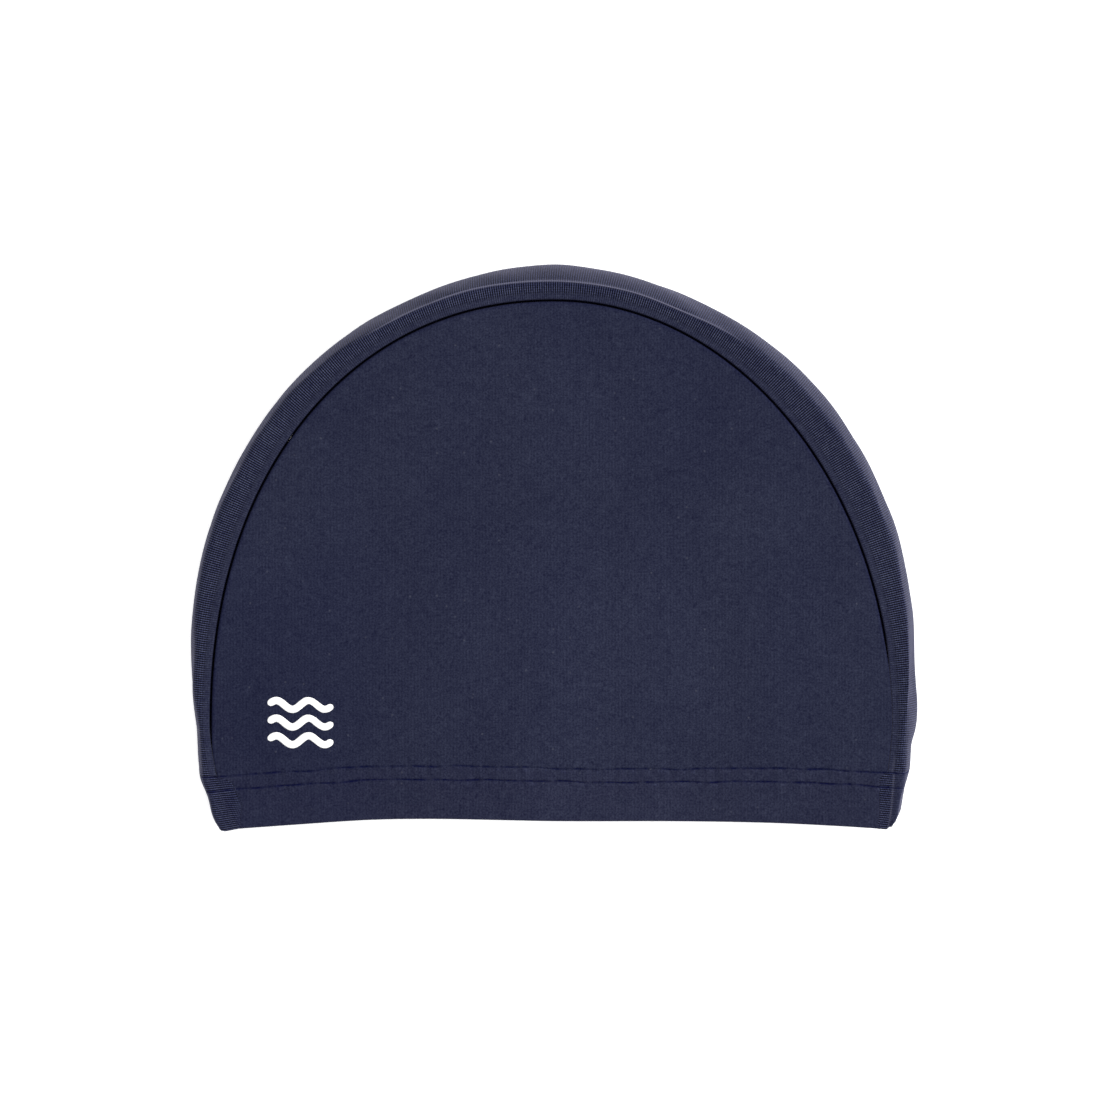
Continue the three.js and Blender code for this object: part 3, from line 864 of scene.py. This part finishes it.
class Value:
    """A number in a node tree. Python's operators on it add Math nodes."""

    __add__, __sub__, __mul__ = map(operator, ("ADD", "SUBTRACT", "MULTIPLY"))
    __truediv__, __pow__, __gt__ = map(operator, ("DIVIDE", "POWER", "GREATER_THAN"))

    def __init__(self, recipe, socket):
        self.recipe, self.socket = recipe, socket

    def math(self, operation, *others):
        values = dict(enumerate((self, *others)))
        return self.recipe.node("ShaderNodeMath", {"operation": operation}, values)[0]

    def __rsub__(self, other):
        return self * -1 + other


class Outputs:
    """A node's outputs by name or place."""

    def __init__(self, recipe, node):
        self.recipe, self.node = recipe, node

    def __getitem__(self, key):
        return Value(self.recipe, self.node.outputs[key])


class Recipe:
    """A node tree, and the one way to add a node to it."""

    def __init__(self, tree):
        self.tree = tree

    def node(self, kind, settings=None, values=None):
        node = self.tree.nodes.new(kind)
        for key, value in (settings or {}).items():
            setattr(node, key, value)
        for key, value in (values or {}).items():
            if isinstance(value, Value):
                self.tree.links.new(value.socket, node.inputs[key])
            else:
                node.inputs[key].default_value = value
        return Outputs(self, node)

    def blend(self, share, first, second):
        """A colour between two others."""
        colours = {6: first, 7: second}
        colours = {k: v if isinstance(v, Value) else (*v, 1) for k, v in colours.items()}
        return self.node("ShaderNodeMix", {"data_type": "RGBA"}, {0: share, **colours})[2]

    def scaled(self, vector, factor):
        return self.node("ShaderNodeVectorMath", {"operation": "SCALE"}, {0: vector, 3: factor})[0]

    def place(self):
        """Where a point lies on the piece itself."""
        return self.node("ShaderNodeTexCoord")["Object"]

    def noise(self, scale, detail=2):
        values = {"Vector": self.place(), "Scale": scale, "Detail": detail}
        return self.node("ShaderNodeTexNoise", None, values)[0]

    def knit(self):
        """A point's place in the knit: across the wales and along them."""
        uv = self.node("ShaderNodeUVMap", {"uv_map": "knit"})["UV"]
        return self.node("ShaderNodeSeparateXYZ", None, {0: uv})

    def bump(self, strength, depth, height):
        values = {"Strength": strength, "Distance": depth, "Height": height}
        return self.node("ShaderNodeBump", None, values)[0]

    def surface(self, values):
        """Ends a material in one shader."""
        shader = self.node("ShaderNodeBsdfPrincipled", None, values)
        self.node("ShaderNodeOutputMaterial", None, {0: shader[0]})


def new_material(name):
    material = bpy.data.materials.new(name)
    material.use_nodes = True
    material.node_tree.nodes.clear()
    return material, Recipe(material.node_tree)


def across_wale(wale):
    """How far across its wale a point lies: 0 in the middle and 1 at both sides."""
    return (wale.math("FRACT") - 0.5).math("ABSOLUTE") * 2


def knit_material(name, colour, rib_depth):
    """Fine polyester jersey: wales of small loops, a faint nap, a few specks of lint, and painted light and
    shade on the knit's relief and where the pieces' marks carry it.
    """
    material, m = new_material(name)
    knit = m.knit()
    rib, shade, highlight_and_wear = (
        m.node("ShaderNodeAttribute", {"attribute_name": key})["Fac"] for key in ("rib", "shade", "highlight_and_wear")
    )

    across = across_wale(knit[0])
    crest = (knit[0] * (2 * np.pi)).math("COSINE") * -1
    loop = ((knit[1] + across * 0.5) * (2 * np.pi)).math("SINE")
    relief = crest * 0.5 + loop * 0.15
    grain, patch, cloudy = m.noise(1700), m.noise(420), m.noise(28, 3)
    cell = m.node("ShaderNodeTexVoronoi", None, {"Vector": m.place(), "Scale": 330})
    chosen = m.node("ShaderNodeSeparateColor", None, {0: cell["Color"]})[0] > 0.84
    lint = (1 - cell["Distance"] * 6).math("MAXIMUM", 0) * chosen

    # Painted light and shade of the knit's relief: paler on the crests, darker between them
    depth = rib * (rib_depth - WALE_DEPTH) + WALE_DEPTH
    loops = (crest + loop * 0.35) * depth + 1
    mottle = (grain * 1.8 + 0.1) * (patch * 0.55 + 0.72) * (cloudy * 0.45 + 0.78)
    deep, pale = (tuple(c * share for c, share in zip(colour, shares)) for shares in (FIBRE_DEEP, FIBRE_PALE))
    fibres = m.blend((mottle - 0.25) / 1.5, deep, pale)
    # Where the shade mark is above 1 the colour is painted paler, as painted light
    base = m.scaled(fibres, loops.math("MAXIMUM", 0.05) * shade.math("MAXIMUM", 1))
    base = m.blend(lint * 0.08, base, (0.35, 0.36, 0.40))
    # Painted highlight and wear along the fold, painted highlight on the crease, painted light on the flared
    # right leg
    base = m.blend(highlight_and_wear, base, HIGHLIGHT_AND_WEAR_NAVY)
    height = relief * (rib * 1.7 + 0.3) + grain * 0.35
    cloth = m.node("ShaderNodeBsdfPrincipled", None, {
        "Base Color": base,
        "Roughness": grain * 0.1 + 0.78,
        "Normal": m.bump(0.5, 0.12 * MM, height),
        "Specular IOR Level": 0.05,
        "Sheen Weight": 0.16,
        "Sheen Roughness": 0.45,
        "Sheen Tint": (0.67, 0.65, 0.90, 1),
    })
    # A painted shadow: a dark shader that the cloth is mixed towards where the shade mark falls below 1
    painted_shadow = m.node("ShaderNodeBsdfPrincipled", None, {
        "Base Color": m.scaled(SHADOW_NAVY, grain + 0.5), "Roughness": 0.9, "Specular IOR Level": 0.0})
    depth = (1 - shade).math("MAXIMUM", 0)
    shader = m.node("ShaderNodeMixShader", None, {0: depth, 1: cloth[0], 2: painted_shadow[0]})
    m.node("ShaderNodeOutputMaterial", None, {0: shader[0]})
    return material


def thread_material():
    """Twisted polyester thread."""
    material, m = new_material("thread")
    twist = m.node("ShaderNodeTexWave", {"bands_direction": "DIAGONAL"}, {
        "Vector": m.place(), "Scale": 900, "Distortion": 1.5})[1]
    tone = (twist * 0.5 + 0.6) * (m.noise(2500) * 0.5 + 0.75)
    m.surface({
        "Base Color": m.scaled((0.011, 0.013, 0.031), tone),
        "Roughness": twist * 0.15 + 0.5,
        "Normal": m.bump(0.5, 0.05 * MM, twist),
        "Specular IOR Level": 0.03,
    })
    return material


def film_material():
    """White transfer film, through which the knit shows faintly."""
    material, m = new_material("print film")
    furrow = across_wale(m.knit()[0]) ** 3
    grain = m.noise(1400)
    tone = (1 - furrow * 0.05) * (grain * 0.08 + 0.95)
    m.surface({
        "Base Color": m.scaled((0.86, 0.86, 0.85), tone),
        "Roughness": grain * 0.1 + 0.5,
        "Normal": m.bump(0.25, 0.05 * MM, 1 - furrow),
        "Specular IOR Level": 0.3,
    })
    return material


def node_group(name, inputs):
    """A Geometry Nodes tree with named inputs, and its recipe, input values and output node."""
    tree = bpy.data.node_groups.new(name, "GeometryNodeTree")
    tree.interface.new_socket("Geometry", in_out="INPUT", socket_type="NodeSocketGeometry")
    tree.interface.new_socket("Geometry", in_out="OUTPUT", socket_type="NodeSocketGeometry")
    for key, kind in inputs.items():
        tree.interface.new_socket(key, in_out="INPUT", socket_type="NodeSocket" + kind)
    recipe = Recipe(tree)
    return tree, recipe, recipe.node("NodeGroupInput")


def finish_group(g, shape, material):
    """Ends a tree: instances are made real and the material is set."""
    real = g.node("GeometryNodeRealizeInstances", None, {0: shape})[0]
    painted = g.node("GeometryNodeSetMaterial", None, {"Geometry": real, "Material": material})[0]
    g.node("NodeGroupOutput", None, {0: painted})


def even_line(g, mesh, pitch):
    """A line's points at even steps, the direction that each faces, and the line's course."""
    line = g.node("GeometryNodeMeshToCurve", None, {0: mesh})[0]
    line = g.node("GeometryNodeResampleCurve", {"mode": "LENGTH"}, {0: line, "Length": pitch})[0]
    facing = g.node("GeometryNodeInputNamedAttribute", {"data_type": "FLOAT_VECTOR"}, {"Name": "facing"})[0]
    return line, facing, g.node("GeometryNodeInputTangent")[0]


def round_thread(g, curve, width, sides, capped):
    ring = g.node("GeometryNodeCurvePrimitiveCircle", None, {"Resolution": sides, "Radius": width / 2})[0]
    values = {"Curve": curve, "Profile Curve": ring, "Fill Caps": capped}
    return g.node("GeometryNodeCurveToMesh", None, values)[0]


def stitch_group():
    """Single stitches along a line: short arched threads that dip into the cloth at both ends."""
    tree, g, given = node_group("stitch row", {
        "Pitch": "Float", "Length": "Float", "Thread": "Float", "Seed": "Int", "Material": "Material"})
    half = given["Length"] / 2

    def point(x, z):
        return g.node("ShaderNodeCombineXYZ", None, {"X": x, "Z": z})[0]

    arch = g.node("GeometryNodeCurveQuadraticBezier", None, {
        "Resolution": 5,
        "Start": point(half * -1, given["Thread"] * -1.2),
        "Middle": point(0.0, given["Thread"] * 1.1),
        "End": point(half, given["Thread"] * -1.2),
    })[0]
    stitch = round_thread(g, arch, given["Thread"], 6, True)
    line, facing, course = even_line(g, given["Geometry"], given["Pitch"])
    turned = g.node("FunctionNodeAlignRotationToVector", {"axis": "X"}, {"Vector": course})[0]
    turned = g.node("FunctionNodeAlignRotationToVector", {"axis": "Z", "pivot_axis": "X"}, {
        "Rotation": turned, "Vector": facing})[0]
    size = g.node("FunctionNodeRandomValue", {"data_type": "FLOAT"}, {
        2: 0.8, 3: 1.08, "Seed": given["Seed"]})[1]
    row = g.node("GeometryNodeInstanceOnPoints", None, {
        "Points": line, "Instance": stitch, "Rotation": turned, "Scale": size})[0]
    finish_group(g, row, given["Material"])
    return tree


def looper_group():
    """One looper thread that swings from row to row on the inside of the hem."""
    tree, g, given = node_group("looper thread", {
        "Pitch": "Float", "Swing": "Float", "Phase": "Float", "Thread": "Float", "Material": "Material"})
    line, facing, course = even_line(g, given["Geometry"], given["Pitch"] / 8)
    sideways = g.node("ShaderNodeVectorMath", {"operation": "CROSS_PRODUCT"}, {0: facing, 1: course})[0]
    turn = g.node("GeometryNodeInputIndex")[0] * (np.pi / 4) + given["Phase"]
    swing = turn.math("SINE") * given["Swing"]
    lift = ((turn * 2).math("COSINE") * 0.3 + 0.6) * given["Thread"]
    both = g.node("ShaderNodeVectorMath", {"operation": "ADD"}, {
        0: g.scaled(sideways, swing), 1: g.scaled(facing, lift)})[0]
    swung = g.node("GeometryNodeSetPosition", None, {"Geometry": line, "Offset": both})[0]
    finish_group(g, round_thread(g, swung, given["Thread"], 5, False), given["Material"])
    return tree


def grow(name, line, tree, values):
    """What a tree makes along a closed line of points and facings, as a plain mesh on the frame."""
    points, facing = line
    ends = [(i, (i + 1) % len(points)) for i in range(len(points))]
    mesh = new_mesh(name + "_line", (points + PLAN_TO_FRAME).tolist(), ends, [])
    mesh.attributes.new("facing", "FLOAT_VECTOR", "POINT").data.foreach_set(
        "vector", facing.astype(np.float32).ravel())
    piece = placed(name, mesh)
    modifier = piece.modifiers.new("rows", "NODES")
    modifier.node_group = tree
    sockets = {item.name: item.identifier for item in tree.interface.items_tree if item.in_out == "INPUT"}
    for key, value in values.items():
        modifier[sockets[key]] = value
    grown = piece.evaluated_get(bpy.context.evaluated_depsgraph_get())
    plain = bpy.data.meshes.new_from_object(grown)
    piece.modifiers.remove(modifier)
    piece.data = plain
    plain.shade_smooth()
    return piece


def joined(name, pieces):
    """Several meshes as one piece."""
    work = bmesh.new()
    for piece in pieces:
        work.from_mesh(piece.data)
    mesh = bpy.data.meshes.new(name)
    work.to_mesh(mesh)
    work.free()
    for piece in pieces:
        bpy.data.objects.remove(piece)
    mesh.shade_smooth()
    return placed(name, mesh)


def area_light(name, place, aim, size, power):
    light = bpy.data.lights.new(name, "AREA")
    light.shape, light.size, light.energy = "SQUARE", size, power
    lamp = placed(name, light)
    lamp.location = place
    lamp.rotation_euler = (Vector(aim) - Vector(place)).to_track_quat("-Z", "Y").to_euler()


def studio():
    """A white floor that glows a little, soft light all round, one lamp overhead and a low one each side."""
    size = 12.0
    corners = [(-size, -size, 0), (size, -size, 0), (size, size, 0), (-size, size, 0)]
    mesh = new_mesh("floor", corners, [], [(0, 1, 2, 3)])
    floor = placed("floor", mesh)
    floor.location.z = FLOOR_LEVEL
    material, m = new_material("floor")
    m.surface({
        "Base Color": m.scaled((0.95, 0.95, 0.95), m.noise(40) * 0.01 + 0.995),
        "Roughness": 0.9,
        "Specular IOR Level": 0.1,
        "Emission Color": (1, 1, 1, 1),
        "Emission Strength": 0.42,
    })
    mesh.materials.append(material)

    world = bpy.data.worlds.new("studio")
    world.use_nodes = True
    backdrop = world.node_tree.nodes["Background"]
    backdrop.inputs["Color"].default_value = (1, 1, 1, 1)
    backdrop.inputs["Strength"].default_value = 0.60
    bpy.context.scene.world = world
    bpy.context.scene.view_settings.view_transform = "Standard"
    area_light("overhead", (0.25, 0.0, 1.6), (0, 0, 0), 1.6, 24)
    area_light("low right", (1.45, 0.3, 0.25), (0, 0, 0.01), 0.9, 34)
    area_light("low left", (-1.4, 0.35, 0.2), (0, 0, 0.01), 0.6, 3)


def photo_camera():
    data = bpy.data.cameras.new("camera")
    data.lens = data.sensor_width * CAMERA_DISTANCE / (PHOTO_PIXELS * PIXEL)
    data.clip_end = 40
    camera = placed("camera", data)
    x = (PHOTO_PIXELS / 2 - PLAN_PIXEL[0]) * PIXEL + PLAN_TO_FRAME[0]
    y = (PLAN_PIXEL[1] - PHOTO_PIXELS / 2) * PIXEL + PLAN_TO_FRAME[1]
    camera.location = (x, y, SIGHT_HEIGHT + CAMERA_DISTANCE)
    bpy.context.scene.camera = camera


def dress(piece, material, slot, *nodes):
    """Gives a finished piece its material and its place on the cap. The slot is not used."""
    piece.data.materials.clear()
    piece.data.materials.append(material)
    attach(piece, "root")
    if nodes:
        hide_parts(*nodes)
    return piece


photo_camera()
studio()

panel_knit = knit_material("panel knit", PANEL_NAVY, WALE_DEPTH)
band_knit = knit_material("band knit", BAND_NAVY, BAND_RIB_DEPTH)
hem_knit = knit_material("hem knit", HEM_NAVY, HEM_RIB_DEPTH)
thread = thread_material()

near_panel = dress(side_panel("near_panel_cloth", False), panel_knit, "panel_knit", "side_panel_near")
far_panel = dress(side_panel("far_panel_cloth", True), panel_knit, "panel_knit", "side_panel_far")
band = dress(centre_band(), band_knit, "band_knit", "centre_band")
hem, rows = hem_ring()
hem = dress(hem, hem_knit, "hem_knit", "hem")
waves = dress(print_film(), film_material(), "print_film")

stitches = stitch_group()
row_pieces = [
    grow("row_" + key, rows[key], stitches, {
        "Pitch": STITCH_PITCH, "Length": STITCH_LENGTH, "Thread": THREAD, "Seed": seed, "Material": thread})
    for seed, key in enumerate(("upper", "lower"))
]
hem_stitches = dress(joined("hem_stitches", row_pieces), thread, "thread")
looper = looper_group()
loops = [
    grow(f"looper_{number}", rows["inside"], looper, {
        "Pitch": STITCH_PITCH, "Swing": (1 - LOWER_ROW) / 2 * HEM_HEIGHT, "Phase": number * np.pi,
        "Thread": THREAD, "Material": thread})
    for number in range(2)
]
looper_threads = dress(joined("looper_threads", loops), thread, "thread")
